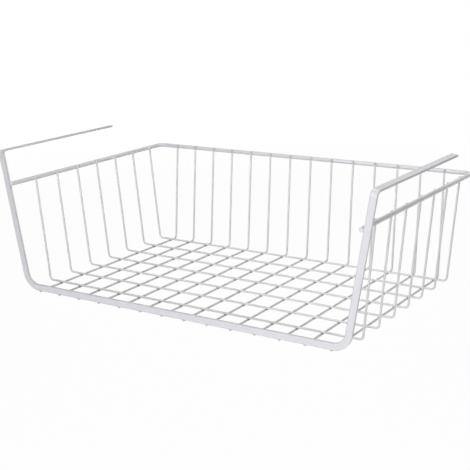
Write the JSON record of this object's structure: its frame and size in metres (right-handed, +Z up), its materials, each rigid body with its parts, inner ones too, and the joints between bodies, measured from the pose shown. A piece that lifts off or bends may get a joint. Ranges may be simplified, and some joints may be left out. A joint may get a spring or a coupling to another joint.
{
  "type": "under-shelf wire basket",
  "caption": "White-coated steel wire basket with an open front and two flat arms that slip over a shelf board, so that it hangs below the shelf.",
  "frame": {"origin": "on the surface that the floor wires stand on, in the middle of the width and depth", "axes": "+X to the right seen from the open front, along the width; +Y from the open front to the back wall; +Z up, towards the arms"},
  "size_m": [0.3978, 0.2398, 0.1376],
  "materials": {
    "white_coating": "smooth satin white coating on steel"
  },
  "bodies": {
    "root": {"front_frame": "white_coating", "top_rim": "white_coating", "cross_wire_1": "white_coating", "cross_wire_2": "white_coating", "cross_wire_3": "white_coating", "cross_wire_4": "white_coating", "cross_wire_5": "white_coating", "cross_wire_6": "white_coating", "cross_wire_7": "white_coating", "depth_wire_1": "white_coating", "depth_wire_2": "white_coating", "depth_wire_3": "white_coating", "depth_wire_4": "white_coating", "depth_wire_5": "white_coating", "depth_wire_6": "white_coating", "depth_wire_7": "white_coating", "depth_wire_8": "white_coating", "depth_wire_9": "white_coating", "depth_wire_10": "white_coating", "depth_wire_11": "white_coating", "depth_wire_12": "white_coating", "depth_wire_13": "white_coating", "depth_wire_14": "white_coating"}
  },
  "joints": []
}
